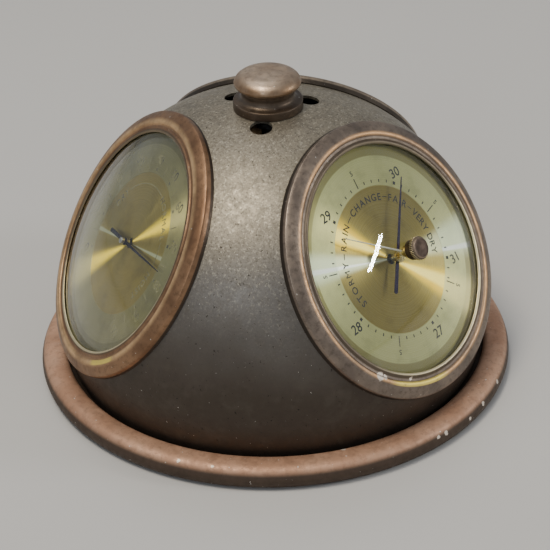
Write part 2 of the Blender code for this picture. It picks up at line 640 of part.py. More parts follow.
# ---- hygrometer and thermometer movements -------------------------------------------------
def make_coil_movement(name, seat, case, coil_material):
    for number in range(4):
        spot = seat.matrix_world @ Matrix.Rotation(radians(45.0 + 90.0 * number), 4, "Z")
        spot = spot @ place(AIR_HOLE_CIRCLE_R, 0, 0)
        boolean(case, cutter_rod(f"{name}_air_hole_{number}", AIR_HOLE_R, -26.0, -22.0, spot, 12))
    foot_z = CASE_FLOOR_Z + CASE_WALL + GAP
    make_bridge(name + "_bridge", seat, COIL_BRIDGE_Z, foot_z, BRIDGE_HALF)
    spiral_strip(name + "_coil", *COIL_R, COIL_TURNS, *COIL_Z, COIL_THICKNESS, coil_material, seat)
    pivot = [(0.0, PIVOT_Z[1]), (PIVOT_R - 1.2, PIVOT_Z[1]), (PIVOT_R, PIVOT_Z[0] + 1.0),
             (PIVOT_R, PIVOT_Z[0]), (0.0, PIVOT_Z[0])]
    turned(name + "_pivot", pivot, 16, BRASS, seat)
    arbor = [(0.0, 2.6), (ARBOR_R, 2.6), (ARBOR_R, 1.8), (1.35, 1.8), (1.35, 0.5), (ARBOR_R, 0.5),
             (ARBOR_R, COIL_Z[1] + 0.5), (2.6, COIL_Z[1] + 0.5), (2.6, COIL_Z[0] - 0.5),
             (ARBOR_R, COIL_Z[0] - 0.5), (ARBOR_R, PIVOT_Z[1] + GAP), (0.0, PIVOT_Z[1] + GAP)]
    turned(name + "_arbor", arbor, 16, STEEL, seat)


def make_hub_cap(name, seat, low_z, radius, height, material):
    profile = [(0.0, low_z + height)]
    profile += [(radius * sin(radians(a)), low_z + height * cos(radians(a))) for a in (30.0, 60.0, 85.0)]
    profile += [(radius, low_z), (0.0, low_z)]
    turned(name, profile, 16, material, seat)


# ---- build ----------------------------------------------------------------------------
clear_scene()
PARTS = new_collection("desk_weather_station")
CUTTERS = new_collection("cutters")
BRONZE = make_material("patinated_bronze", (0.13, 0.10, 0.075), 0.85, 0.45)
COPPER = make_material("worn_copper", (0.33, 0.17, 0.10), 0.9, 0.35)
BRASS = make_material("brass", (0.55, 0.40, 0.16), 1.0, 0.3)
STEEL = make_material("steel", (0.45, 0.45, 0.46), 1.0, 0.35)
BLUED = make_material("blued_steel", (0.03, 0.025, 0.05), 0.8, 0.3)
GLASS = make_material("glass", (0.9, 0.95, 0.93), 0.0, 0.03, 0.25)
RUBBER = make_material("gasket_rubber", (0.03, 0.03, 0.03), 0.0, 0.7)
FELT = make_material("felt", (0.03, 0.09, 0.05), 0.0, 0.95)
DIAL_GOLD = make_material("gold_dial", (0.50, 0.45, 0.22), 0.8, 0.4)
BIMETAL = make_material("bimetal", (0.48, 0.35, 0.25), 1.0, 0.35)

make_dome()
make_base()
make_finial()

seats = {}
cases = {}
glasses = {}
for instrument, bearing in AZIMUTHS.items():
    seats[instrument] = empty(instrument + "_axis", instrument_matrix(bearing))
    bpy.context.view_layer.update()
    cases[instrument], glasses[instrument] = make_housing(instrument, seats[instrument])

make_barometer_movement(seats["barometer"], cases["barometer"])
make_hand("barometer_hand", seats["barometer"], BAROMETER_HAND)
make_hub_cap("barometer_hub_cap", seats["barometer"], 4.1, 2.45, 1.3, BRASS)
make_setting_hand(seats["barometer"], glasses["barometer"])

for instrument, hand, coil in (("hygrometer", AIR_HAND, BRASS), ("thermometer", HEAT_HAND, BIMETAL)):
    make_coil_movement(instrument, seats[instrument], cases[instrument], coil)
    make_hand(instrument + "_hand", seats[instrument], hand)
    make_hub_cap(instrument + "_hub_cap", seats[instrument], 2.9, 1.3, 1.7, STEEL)
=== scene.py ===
"""Looks of the desk weather station: dome, base ring, bezels, glasses, dials and hands.

Lengths are in millimetres and become metres when a mesh is made.  Each instrument's own
axes come from its needle's joint: X to its right, Y up its dial, Z out of it.  Every
turned piece stores its own millimetre coordinates in the attribute "local", which the
materials read, so that a pattern stays on its piece.
"""
import json
from math import acos, asin, atan2, cos, degrees, hypot, pi, radians, sin, sqrt

import bmesh
import bpy
from mathutils import Matrix, Vector


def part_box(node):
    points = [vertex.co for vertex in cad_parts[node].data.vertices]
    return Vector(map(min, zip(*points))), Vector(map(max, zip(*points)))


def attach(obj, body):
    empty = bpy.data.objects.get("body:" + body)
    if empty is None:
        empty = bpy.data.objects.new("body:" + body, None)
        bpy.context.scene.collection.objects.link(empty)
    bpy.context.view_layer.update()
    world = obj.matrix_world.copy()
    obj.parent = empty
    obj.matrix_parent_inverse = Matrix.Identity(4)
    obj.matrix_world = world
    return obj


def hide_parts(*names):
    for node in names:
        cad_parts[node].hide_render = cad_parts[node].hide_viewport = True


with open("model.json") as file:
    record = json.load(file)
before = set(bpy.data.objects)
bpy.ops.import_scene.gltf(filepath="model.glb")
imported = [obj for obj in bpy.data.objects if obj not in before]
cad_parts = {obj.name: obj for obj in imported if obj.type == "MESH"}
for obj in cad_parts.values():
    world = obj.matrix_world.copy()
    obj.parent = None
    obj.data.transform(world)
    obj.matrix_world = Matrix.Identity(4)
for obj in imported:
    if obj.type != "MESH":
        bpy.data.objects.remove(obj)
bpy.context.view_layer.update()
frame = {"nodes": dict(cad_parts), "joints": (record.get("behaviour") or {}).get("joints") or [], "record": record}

MM = 0.001

# ---- the housing, as in the CAD ------------------------------------------------------
DOME_R = 89.6
DOME_CENTRE_Z = 29.5
CROWN_R = 34.0                # inside this radius the crown is flatter than the sphere
CROWN_DROP = 0.75
DOME_WALL = 1.2
CROWN_HOLE_R = 4.5
OPENING_R = 51.5
VENT_R = 4.5
VENT_CIRCLE_R = 17.3          # the air holes lie on this circle round the finial
RING_R = 100.0
LIP_R = 46.3
BEZEL_R = 56.3
GLASS_R = 49.8
GLASS_CROWN_R = 46.2
GLASS_RIM_Z = (1.0, 2.3)
GLASS_CENTRE_Z = (9.8, 11.2)
DIAL_R = 48.7
DIAL_BACK = -0.8
ARBOR_HOLE_R = 2.2
DISC_R = 30.0                 # spun gold disc in the middle of a dial
DISC_STEP = 0.12              # the disc lies this much below the scale ring
CHAPTER_R = 42.2              # outer edge of the pale scale ring
STEM_HOLE_R = 2.2             # hole in the barometer's glass for the setting knob's stem
KNOB_R = 4.75
KNOB_LOW = 11.7
KNOB_TOP = 17.2               # heights over the barometer's dial

INSTRUMENTS = {"barometer": "barometer_reading", "hygrometer": "humidity_reading",
               "thermometer": "temperature_reading"}
NEEDLES = {"barometer": "barometer_needle", "hygrometer": "hygrometer_needle",
           "thermometer": "thermometer_needle"}


# ---- geometry helpers ------------------------------------------------------------------
def flow(points, per=6):
    """A smooth curve through the points (Catmull-Rom), with some steps between each two."""
    result = []
    for i in range(len(points) - 1):
        before = points[max(i - 1, 0)]
        a, b = points[i], points[i + 1]
        after = points[min(i + 2, len(points) - 1)]
        for k in range(per):
            t = k / per
            weights = (-t ** 3 / 2 + t ** 2 - t / 2, 1.5 * t ** 3 - 2.5 * t ** 2 + 1,
                       -1.5 * t ** 3 + 2 * t ** 2 + t / 2, t ** 3 / 2 - t ** 2 / 2)
            around = (before, a, b, after)
            result.append(tuple(sum(w * p[axis] for w, p in zip(weights, around)) for axis in (0, 1)))
    result.append(points[-1])
    return result


def arc(centre, radius, start, end, steps):
    """Points along a circle, between two angles in degrees."""
    angles = [radians(start + (end - start) * i / steps) for i in range(steps + 1)]
    return [(centre[0] + radius * cos(a), centre[1] + radius * sin(a)) for a in angles]


def finish_mesh(name, shape, matrix, body, node=(), sharp=38.0, bevel=0.0):
    """Turn a bmesh in millimetres into a named piece that rides on a body.  Its place goes
    into its mesh, as on the CAD's own pieces."""
    mesh = bpy.data.meshes.new(name)
    shape.to_mesh(mesh)
    shape.free()
    mesh.transform(Matrix.Scale(MM, 4))
    store_local(mesh)
    mesh.transform(matrix)
    mesh.shade_smooth()
    mesh.set_sharp_from_angle(angle=radians(sharp))
    piece = bpy.data.objects.new(name, mesh)
    bpy.context.scene.collection.objects.link(piece)
    if bevel:
        edge = piece.modifiers.new("edge", "BEVEL")
        edge.width = bevel * MM
        edge.segments = 2
        edge.limit_method = "ANGLE"
    settle(piece, body, node)
    return piece


def store_local(mesh, back=Matrix.Identity(4)):
    """Keep each point's own millimetre coordinates, for the materials."""
    local = mesh.attributes.get("local") or mesh.attributes.new("local", "FLOAT_VECTOR", "POINT")
    local.data.foreach_set("vector", [value / MM for v in mesh.vertices for value in back @ v.co])


def carve(piece, matrix, cutters):
    """Cut the pieces in the list out of a piece that was placed by a matrix."""
    for cutter in cutters:
        cut = piece.modifiers.new("cut", "BOOLEAN")
        cut.object = cutter
        cut.operation = "DIFFERENCE"
        cut.solver = "EXACT"
    bpy.context.view_layer.update()
    whole = piece.evaluated_get(bpy.context.evaluated_depsgraph_get())
    mesh = bpy.data.meshes.new_from_object(whole)
    piece.modifiers.clear()
    piece.data = mesh
    mesh.set_sharp_from_angle(angle=radians(30))
    store_local(mesh, matrix.inverted())
    for cutter in cutters:
        bpy.data.objects.remove(cutter, do_unlink=True)


def settle(piece, body, node=()):
    """Say which body a piece rides on, and hide the CAD nodes it replaces."""
    nodes = (node,) if isinstance(node, str) else tuple(node)
    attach(piece, body)
    if nodes:
        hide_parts(*nodes)


def assign(piece, *materials):
    """Give a piece its materials; its faces keep their numbers."""
    faces = [face.material_index for face in piece.data.polygons]
    piece.data.materials.clear()
    for material in materials:
        piece.data.materials.append(material)
    piece.data.polygons.foreach_set("material_index", [min(i, len(materials) - 1) for i in faces])


def lathe_shape(profile, steps, closed=False, ripple=None):
    """A turned bmesh.  The profile runs down the outer side; ripple(i, angle) may scale
    the radius of ring i, as knurling does."""
    shape = bmesh.new()
    spin = shape.loops.layers.uv.new("spin")
    lengths = [0.0]
    for (r0, z0), (r1, z1) in zip(profile, profile[1:]):
        lengths.append(lengths[-1] + hypot(r1 - r0, z1 - z0))
    rings = []
    for i, (r, z) in enumerate(profile):
        if r < 1e-6:
            rings.append([shape.verts.new((0, 0, z))] * steps)
            continue
        ring = []
        for k in range(steps):
            angle = 2 * pi * k / steps
            radius = r * (ripple(i, angle) if ripple else 1.0)
            ring.append(shape.verts.new((radius * cos(angle), radius * sin(angle), z)))
        rings.append(ring)
    count = len(profile)
    for i in range(count if closed else count - 1):
        upper, lower = rings[i], rings[(i + 1) % count]
        for k in range(steps):
            n = (k + 1) % steps
            corners = [(upper[k], k, i), (lower[k], k, i + 1),
                       (lower[n], k + 1, i + 1), (upper[n], k + 1, i)]
            if upper[k] is upper[n]:
                corners = corners[:3]
            elif lower[k] is lower[n]:
                corners = [corners[0], corners[1], corners[3]]
            face = shape.faces.new([corner[0] for corner in corners])
            for loop, (_, column, row) in zip(face.loops, corners):
                along = lengths[row] if row < count else lengths[-1]
                loop[spin].uv = (column / steps, along / (lengths[-1] + 1.0))
    return shape


def lathe(name, profile, steps, matrix, body, node=(), closed=False, ripple=None, sharp=38.0):
    """A turned piece, from its profile."""
    shape = lathe_shape(profile, steps, closed, ripple)
    return finish_mesh(name, shape, matrix, body, node, sharp)


def prism(shape, outline, low, high):
    """A closed solid between two copies of an outline that runs counter-clockwise."""
    top = [shape.verts.new((x, y, high)) for x, y in outline]
    bottom = [shape.verts.new((x, y, low)) for x, y in outline]
    shape.faces.new(top)
    shape.faces.new(list(reversed(bottom)))
    count = len(outline)
    for i in range(count):
        n = (i + 1) % count
        shape.faces.new((top[n], top[i], bottom[i], bottom[n]))


def seat_of(joint_name):
    """An instrument's own axes, from the joint of its needle."""
    joint = next(j for j in frame["joints"] if j["name"] == joint_name)
    out = -Vector(joint["axis"]).normalized()
    right = Vector((0, 0, 1)).cross(out).normalized()
    up = out.cross(right)
    turn = Matrix((right, up, out)).transposed().to_4x4()
    return Matrix.Translation(Vector(joint["pos_m"])) @ turn


def raised(seat, height, turn):
    """A place in front of a seat, turned clockwise as seen from the front."""
    return seat @ Matrix.Translation((0, 0, height * MM)) @ Matrix.Rotation(radians(-turn), 4, "Z")


SEATS = {name: seat_of(joint) for name, joint in INSTRUMENTS.items()}
BASE = Matrix.Identity(4)


# ---- material helpers --------------------------------------------------------------------
class Paint:
    """A material's node tree, with short calls for the nodes used here.  Its patterns follow
    the attribute "local" of the pieces made here, or with own=False the object's place."""

    def __init__(self, name, own=True):
        self.material = bpy.data.materials.new(name)
        self.material.use_nodes = True
        self.tree = self.material.node_tree
        self.shader = self.tree.nodes["Principled BSDF"]
        if own:
            self.at = self.add("ShaderNodeAttribute", attribute_name="local").outputs["Vector"]
        else:
            place = self.add("ShaderNodeTexCoord").outputs["Object"]
            self.at = self.vector("SCALE", place, scale=1.0 / MM)

    def add(self, kind, inputs=None, **settings):
        made = self.tree.nodes.new(kind)
        for key, value in settings.items():
            setattr(made, key, value)
        for key, value in (inputs or {}).items():
            if isinstance(value, bpy.types.NodeSocket):
                self.tree.links.new(value, made.inputs[key])
            else:
                made.inputs[key].default_value = value
        return made

    def vector(self, operation, a, b=None, scale=None):
        inputs = {0: a}
        if b is not None:
            inputs[1] = b
        if scale is not None:
            inputs["Scale"] = scale
        return self.add("ShaderNodeVectorMath", inputs, operation=operation).outputs["Vector"]

    def math(self, operation, a, b=0.0, c=0.0, clamp=False):
        made = self.add("ShaderNodeMath", {0: a, 1: b, 2: c}, operation=operation, use_clamp=clamp)
        return made.outputs[0]

    def xyz(self):
        return self.add("ShaderNodeSeparateXYZ", {0: self.at}).outputs

    def radius(self):
        x, y, _ = self.xyz()
        squares = self.math("ADD", self.math("MULTIPLY", x, x), self.math("MULTIPLY", y, y))
        return self.math("SQRT", squares)

    def off_angle(self, angle):
        """How far a point lies from a direction, in radians; angles run clockwise from Y."""
        x, y, _ = self.xyz()
        up = self.math("MULTIPLY", y, cos(radians(angle)))
        along = self.math("MULTIPLY_ADD", x, sin(radians(angle)), up)
        cosine = self.math("MINIMUM", self.math("DIVIDE", along, self.radius()), 1.0)
        return self.math("ARCCOSINE", cosine)

    def noise(self, scale, detail=4.0, rough=0.55, at=None):
        inputs = {"Vector": self.at if at is None else at, "Scale": scale, "Detail": detail,
                  "Roughness": rough}
        return self.add("ShaderNodeTexNoise", inputs).outputs[0]

    def span(self, value, low, high, to_low=0.0, to_high=1.0):
        """A soft step from to_low to to_high, as the value goes from low to high."""
        inputs = {0: value, 1: low, 2: high, 3: to_low, 4: to_high}
        return self.add("ShaderNodeMapRange", inputs, interpolation_type="SMOOTHSTEP").outputs[0]

    def part(self, value, share):
        """A share of a value."""
        return self.math("MULTIPLY", value, share)

    def elsewhere(self, x, y, z):
        """The place shifted, for a noise that doesn't follow another one."""
        return self.vector("ADD", self.at, (x, y, z))

    def mix(self, factor, a, b):
        made = self.add("ShaderNodeMix", data_type="RGBA")
        for index, value in ((0, factor), (6, a), (7, b)):
            if isinstance(value, bpy.types.NodeSocket):
                self.tree.links.new(value, made.inputs[index])
            elif index == 0:
                made.inputs[index].default_value = value
            else:
                made.inputs[index].default_value = (*value, 1.0)
        return made.outputs[2]

    def bump(self, height, strength, distance_mm, below=None):
        inputs = {"Height": height, "Strength": strength, "Distance": distance_mm * MM}
        if below is not None:
            inputs["Normal"] = below
        return self.add("ShaderNodeBump", inputs).outputs[0]

    def set(self, **inputs):
        for key, value in inputs.items():
            socket = self.shader.inputs[key.replace("_", " ")]
            if isinstance(value, bpy.types.NodeSocket):
                self.tree.links.new(value, socket)
            elif isinstance(value, tuple):
                socket.default_value = (*value, 1.0)
            else:
                socket.default_value = value
        return self.material


PALE_SPECK = (0.75, 0.72, 0.66)


def dome_material():
    """Dark brown patina, paler and dustier towards the crown and darker towards the bottom, partly as painted
    shade, with pits and specks.
    """
    p = Paint("dome_patina")
    z = p.xyz()[2]
    wander = p.noise(0.03, 5.0)
    height = p.math("ADD", z, p.part(p.math("SUBTRACT", wander, 0.5), 30.0))
    # Paler towards the crown and darker towards the bottom: partly patina, partly painted shade on the lower dome.
    aged = p.mix(p.span(height, 32.0, 82.0), (0.066, 0.052, 0.041), (0.175, 0.162, 0.148))
    aged = p.mix(p.span(height, 78.0, 104.0), aged, (0.250, 0.221, 0.170))
    blotch = p.part(p.span(p.noise(0.13, 6.0, 0.62), 0.45, 0.75), 0.40)
    colour = p.mix(blotch, aged, (0.11, 0.094, 0.076))
    fine = p.math("MULTIPLY", p.span(p.noise(1.0, 5.0, 0.8), 0.50, 0.60),
                  p.span(height, 60, 100, 0.15, 0.6))
    colour = p.mix(fine, colour, (0.075, 0.065, 0.050))
    dust = p.span(p.noise(0.8, 5.0, 0.8, at=p.elsewhere(9.0, 4.0, 8.0)), 0.54, 0.62)
    dusty = p.math("MULTIPLY", dust, p.span(height, 50.0, 105.0, 0.0, 0.65))
    colour = p.mix(dusty, colour, (0.50, 0.46, 0.37))
    pits = p.span(p.noise(0.75, 3.0, 0.6), 0.34, 0.29)
    colour = p.mix(p.part(pits, 0.85), colour, (0.02, 0.016, 0.012))
    specks = p.span(p.noise(1.2, 2.0, 0.5, at=p.elsewhere(31.0, 7.0, 3.0)), 0.75, 0.78)
    colour = p.mix(p.part(specks, 0.8), colour, PALE_SPECK)
    roughness = p.span(p.noise(0.35, 4.0), 0.3, 0.7, 0.41, 0.54)
    grain = p.bump(p.noise(1.1, 6.0, 0.7), 0.45, 0.16)
    normal = p.bump(pits, 0.6, -0.2, grain)
    return p.set(Base_Color=colour, Metallic=0.72, Roughness=roughness, Normal=normal)


LIP_GLINT_ANGLE = 150.0              # a painted highlight on the lips is strongest towards this angle of their dials


def copper_material(name, low, high, dark, edge=None, worn=None, roughness=0.36, cove=None,
                    shaded_band=None, chips=(), metallic=0.85):
    """Lacquered copper gone brown, between the colours low and high with dark blotches.

    edge:  (radius, half width, colour) of a crest painted another tone: a painted highlight on the rims, painted
    shade round the finial's cap
    worn:  (angle, half angle) of a part of the crest that is down to brass
    cove:  inside this radius it is darkened as painted shade, up to a lip with a painted highlight
    band:  (low height, high height, blur, depth) of a part darkened near black as painted shade
    chips: (place, radius) of each pale fleck"""
    p = Paint(name)
    z = p.xyz()[2]
    wide = p.noise(0.06, 5.0)
    base = p.mix(p.span(wide, 0.35, 0.68), low, high)
    base = p.mix(p.part(p.span(p.noise(0.40, 6.0, 0.75), 0.48, 0.64), 0.45), base, dark)
    if edge:
        radius, width, colour = edge
        # The crest's colour is painted light: a highlight on the rims, shade round the finial's cap.
        off_crest = p.math("ABSOLUTE", p.math("SUBTRACT", p.radius(), radius))
        ridge = p.span(off_crest, width, 0.0)
        painted_crest = p.math("MULTIPLY", ridge, p.span(p.noise(0.07, 5.0, 0.7), 0.36, 0.62, 0.35, 0.9))
        base = p.mix(painted_crest, base, colour)
        if worn:
            near = p.span(p.off_angle(worn[0]), radians(worn[1]), radians(worn[1] * 0.6))
            torn = p.span(p.noise(0.35, 6.0, 0.75), 0.30, 0.42)
            bare = p.math("MULTIPLY", p.span(off_crest, 1.2, 0.8), p.math("MULTIPLY", near, torn))
            base = p.mix(bare, base, (0.86, 0.68, 0.17))
    if cove:
        # Painted shade inside the cove, and a painted highlight on the lip towards one side.
        shade = p.span(p.radius(), cove + 0.7, cove - 0.2, 0.0, 0.75)
        base = p.mix(shade, base, (0.115, 0.090, 0.062))
        lip = p.math("MULTIPLY", p.span(p.radius(), LIP_R + 1.1, LIP_R + 0.7),
                     p.span(p.off_angle(LIP_GLINT_ANGLE), 1.5, 0.9, 0.1, 0.8))
        base = p.mix(lip, base, (0.80, 0.70, 0.44))
    if shaded_band:
        low_z, high_z, blur, depth = shaded_band
        # Painted shade: the part between these heights is darkened near black.
        inside = p.math("MULTIPLY", p.span(z, low_z - blur, low_z + blur),
                        p.span(z, high_z + blur, high_z - blur))
        base = p.mix(p.part(inside, depth), base, (0.042, 0.034, 0.027))
    fine = p.span(p.noise(1.7, 4.0, 0.75), 0.33, 0.26)
    base = p.mix(p.part(fine, 0.65), base, (0.02, 0.014, 0.01))
    specks = p.span(p.noise(0.8, 2.0, 0.5, at=p.elsewhere(5.0, 17.0, 2.0)), 0.74, 0.765)
    base = p.mix(p.part(specks, 0.9), base, PALE_SPECK)
    ragged = p.math("MULTIPLY_ADD", p.noise(0.9, 4.0), 1.6, -0.8)
    for point, size in chips:
        away = p.add("ShaderNodeVectorMath", {0: p.at, 1: point}, operation="DISTANCE")
        fleck = p.span(p.math("ADD", away.outputs["Value"], ragged), size, size * 0.75)
        base = p.mix(fleck, base, (0.72, 0.64, 0.55))
    rough = p.span(p.noise(0.35, 4.0), 0.3, 0.7, roughness * 0.85, roughness * 1.25)
    normal = p.bump(p.noise(1.3, 5.0, 0.65), 0.30, 0.12)
    return p.set(Base_Color=base, Metallic=metallic, Roughness=rough, Normal=normal)


def knob_material():
    """Dark lacquer on a knurled knob, with brass showing on its ridges."""
    p = Paint("knob_lacquer")
    tone = p.mix(p.span(p.noise(0.5, 5.0), 0.35, 0.7), (0.060, 0.043, 0.033), (0.105, 0.075, 0.057))
    z = p.xyz()[2]
    between = p.math("MULTIPLY", p.span(z, KNOB_TOP - 2.45, KNOB_TOP - 2.25),
                     p.span(z, KNOB_TOP - 0.5, KNOB_TOP - 0.7))
    girdle = p.math("MULTIPLY", between, p.span(p.radius(), KNOB_R - 0.55, KNOB_R - 0.45))
    ridge = p.mix(p.span(p.radius(), KNOB_R - 0.29, KNOB_R - 0.09),
                  (0.02, 0.015, 0.010), (0.62, 0.52, 0.36))
    tone = p.mix(girdle, tone, ridge)
    rubbed = p.math("MULTIPLY", p.span(p.radius(), KNOB_R - 1.05, KNOB_R - 0.8),
                    p.span(z, KNOB_TOP - 0.5, KNOB_TOP - 0.4))
    tone = p.mix(p.part(rubbed, 0.5), tone, (0.45, 0.35, 0.24))
    normal = p.bump(p.noise(2.0, 4.0), 0.2, 0.06)
    return p.set(Base_Color=tone, Metallic=0.85, Roughness=0.34, Normal=normal)


def dial_material(name, colour, pale, roughness, anisotropy, painted_wedges=(), edge=None):
    """Spun metal: fine rings, a highlight drawn out along the radius, faint stains.  A painted
    wedge is (angle, half angle, colour, strength) of a painted highlight from the centre outwards,
    in place of the metal's reflection; beyond an edge, given as (radius, colour), the dial has
    another colour, painted as the bezel's reflection."""
    p = Paint(name)
    tangent = p.add("ShaderNodeTangent", direction_type="UV_MAP", uv_map="spin").outputs[0]
    rings = p.add("ShaderNodeTexNoise", {"W": p.radius(), "Scale": 3.0, "Detail": 3.0},
                  noise_dimensions="1D").outputs[0]
    tone = p.mix(p.span(rings, 0.35, 0.65), colour, pale)
    if edge:
        tone = p.mix(p.span(p.radius(), edge[0] - 0.25, edge[0] + 0.25), tone, edge[1])
    stain = p.part(p.span(p.noise(0.08, 5.0, 0.6), 0.46, 0.70), 0.42)
    tone = p.mix(stain, tone, tuple(0.55 * c for c in colour))
    # Each wedge is a painted highlight, drawn into the colour in place of the lamps' reflection in the spun metal.
    for angle, half, light, strength in painted_wedges:
        wedge = p.span(p.off_angle(angle), radians(half * 1.35), radians(half * 0.45),
                       0.0, strength)
        tone = p.mix(wedge, tone, light)
    return p.set(Base_Color=tone, Metallic=0.92, Roughness=roughness, Anisotropic=anisotropy,
                 Anisotropic_Rotation=0.25, Tangent=tangent)


def glass_material():
    """Thin clear glass: it lets light through and mirrors more at a slant."""
    p = Paint("clear_glass")
    tree = p.tree
    tree.nodes.remove(p.shader)
    facing = p.add("ShaderNodeLayerWeight", {"Blend": 0.5}).outputs["Facing"]
    slant = p.math("POWER", facing, 5.0)
    smears = p.span(p.noise(0.08, 4.0), 0.4, 0.8, 0.0, 0.02)
    mirror = p.math("ADD", p.math("MULTIPLY_ADD", slant, 0.96, 0.04), smears, clamp=True)
    clear = p.add("ShaderNodeBsdfTransparent", {"Color": (0.97, 0.985, 0.975, 1.0)})
    gloss = p.add("ShaderNodeBsdfGlossy", {"Color": (1, 1, 1, 1), "Roughness": 0.02})
    both = p.add("ShaderNodeMixShader", {0: mirror, 1: clear.outputs[0], 2: gloss.outputs[0]})
    tree.links.new(both.outputs[0], tree.nodes["Material Output"].inputs["Surface"])
    return p.material


def metal_material(name, colour, roughness, own=True, worn=0.35):
    """Plain machined metal with light handling marks."""
    p = Paint(name, own)
    handled = p.part(p.span(p.noise(0.25, 5.0), 0.35, 0.7), worn)
    tone = p.mix(handled, colour, tuple(0.45 * c for c in colour))
    rough = p.span(p.noise(0.9, 4.0), 0.3, 0.7, roughness * 0.8, roughness * 1.3)
    normal = p.bump(p.noise(3.0, 3.0), 0.12, 0.05)
    return p.set(Base_Color=tone, Metallic=1.0, Roughness=rough, Normal=normal)


def soft_material(name, colour, fibre_scale, strength, own=False):
    """Felt or rubber: no metal, a rough and slightly uneven surface."""
    p = Paint(name, own)
    fibres = p.noise(fibre_scale, 6.0, 0.75)
    tone = p.mix(fibres, tuple(0.6 * c for c in colour), tuple(1.5 * c for c in colour))
    normal = p.bump(fibres, strength, 0.3)
    return p.set(Base_Color=tone, Metallic=0.0, Roughness=0.9, Normal=normal)


def ink_material(name, dark, pale, low, high):
    """Printing ink, faded in patches."""
    p = Paint(name)
    tone = p.mix(p.span(p.noise(0.10, 4.0, 0.7), low, high), dark, pale)
    return p.set(Base_Color=tone, Metallic=0.0, Roughness=0.55)


def floor_material():
    """A plain light grey table top, faintly uneven in tone."""
    p = Paint("pale_table", own=False)
    tone = p.mix(p.noise(0.004, 3.0), (0.495, 0.487, 0.476), (0.532, 0.523, 0.510))
    return p.set(Base_Color=tone, Metallic=0.0, Roughness=0.75)


DOME = dome_material()
# Chips in the ring's lacquer: (angle from the front, distance out, height, radius).
RING_CHIPS = ((-33.6, 89.9, 9.5, 1.3), (-7.6, 99.6, 6.6, 1.1), (-10.0, 99.6, 6.8, 0.9),
              (1.3, 99.9, 5.4, 0.9), (7.5, 99.8, 6.2, 1.1), (16.8, 99.5, 6.8, 1.1),
              (-73.6, 97.8, 8.6, 0.9), (-65.4, 97.5, 8.7, 0.8))
RIM_CHIPS = (((-35.7, -35.0, 3.1), 2.1), ((-33.4, -36.6, 3.1), 1.3), ((-21.2, -43.3, 2.6), 0.9))
# The base ring's lower outer side is darkened as painted shade (band).
RING_COPPER = copper_material(
    "ring_copper", (0.44, 0.252, 0.160), (0.57, 0.350, 0.235), (0.27, 0.158, 0.105),
    roughness=0.56, shaded_band=(-2.0, 7.5, 1.1, 0.91), metallic=0.6,
    chips=[((out * sin(radians(angle)), -out * cos(radians(angle)), height), size)
           for angle, out, height, size in RING_CHIPS])
# On the rims, edge paints a highlight along the crest, cove paints shade inside it with a highlight on the lip,
# and band paints shade on the wall under the rim.
GREY_BEZEL = copper_material(
    "barometer_rim", (0.17, 0.136, 0.112), (0.28, 0.222, 0.176), (0.085, 0.066, 0.052),
    edge=(50.7, 1.4, (0.72, 0.42, 0.20)), worn=(-160.0, 20.0), roughness=0.42, cove=48.4,
    shaded_band=(-4.0, -0.5, 0.3, 0.91), chips=RIM_CHIPS)
TAN_BEZEL = copper_material(
    "hygrometer_rim", (0.20, 0.112, 0.063), (0.32, 0.190, 0.108), (0.12, 0.068, 0.038),
    edge=(50.9, 2.2, (0.82, 0.54, 0.28)), worn=(142.0, 11.0), roughness=0.40, cove=47.6,
    shaded_band=(-4.0, -1.2, 0.3, 0.91))
DARK_BEZEL = copper_material(
    "thermometer_rim", (0.24, 0.190, 0.145), (0.34, 0.275, 0.210), (0.13, 0.104, 0.080),
    edge=(50.7, 1.5, (0.56, 0.42, 0.26)), cove=48.9, shaded_band=(-4.0, -0.5, 0.3, 0.91))
# On the finial, edge paints shade round the cap's rim, and band paints shade on the neck and foot under the cap.
FINIAL_COPPER = copper_material(
    "finial_copper", (0.36, 0.265, 0.190), (0.50, 0.385, 0.285), (0.19, 0.135, 0.098),
    edge=(13.4, 2.6, (0.22, 0.132, 0.070)), roughness=0.40, shaded_band=(100.0, 126.0, 1.8, 0.77))
RIMS = {"barometer": GREY_BEZEL, "hygrometer": TAN_BEZEL, "thermometer": DARK_BEZEL}
KNOB = knob_material()
BRASS = metal_material("brass", (0.74, 0.62, 0.34), 0.26)
STEEL = metal_material("steel", (0.52, 0.51, 0.50), 0.32)
BLUED = metal_material("blued_steel", (0.025, 0.018, 0.045), 0.30)
GLASS = glass_material()

# Painted highlights on the spun dials: wedges drawn into the colour in place of the lamps' reflections, as (angle,
# half angle, colour, strength).
DISC_SHINE = (1.0, 0.67, 0.06)
HOT_SHINE = (1.0, 0.83, 0.25)
RING_SHINE = (0.95, 0.84, 0.38)
PALE_SHINE = (0.90, 0.95, 0.66)
TUBE_REFLECTION = (1.0, 1.0, 0.94)
AGED_SHINE = (0.94, 0.72, 0.07)
DISC_HIGHLIGHTS = ((-44.5, 13.0, DISC_SHINE, 0.90), (-46.0, 6.0, HOT_SHINE, 0.85),
               (135.5, 12.0, DISC_SHINE, 0.90), (133.0, 6.0, HOT_SHINE, 0.85),
               (-70.5, 8.5, PALE_SHINE, 0.75), (101.0, 10.0, PALE_SHINE, 0.55),
               (-72.5, 1.4, TUBE_REFLECTION, 0.9))
RING_HIGHLIGHTS = ((-44.5, 11.5, RING_SHINE, 0.18), (135.5, 11.0, RING_SHINE, 0.65),
               (-71.0, 8.5, PALE_SHINE, 0.88), (101.0, 11.0, PALE_SHINE, 0.80),
               (-72.5, 1.6, TUBE_REFLECTION, 0.9), (107.5, 1.6, TUBE_REFLECTION, 0.9))
AGED_DISC_HIGHLIGHTS = ((42.5, 9.5, AGED_SHINE, 0.95), (-137.5, 9.5, AGED_SHINE, 0.95),
                    (73.5, 1.8, PALE_SHINE, 0.55), (-106.5, 1.8, PALE_SHINE, 0.55))
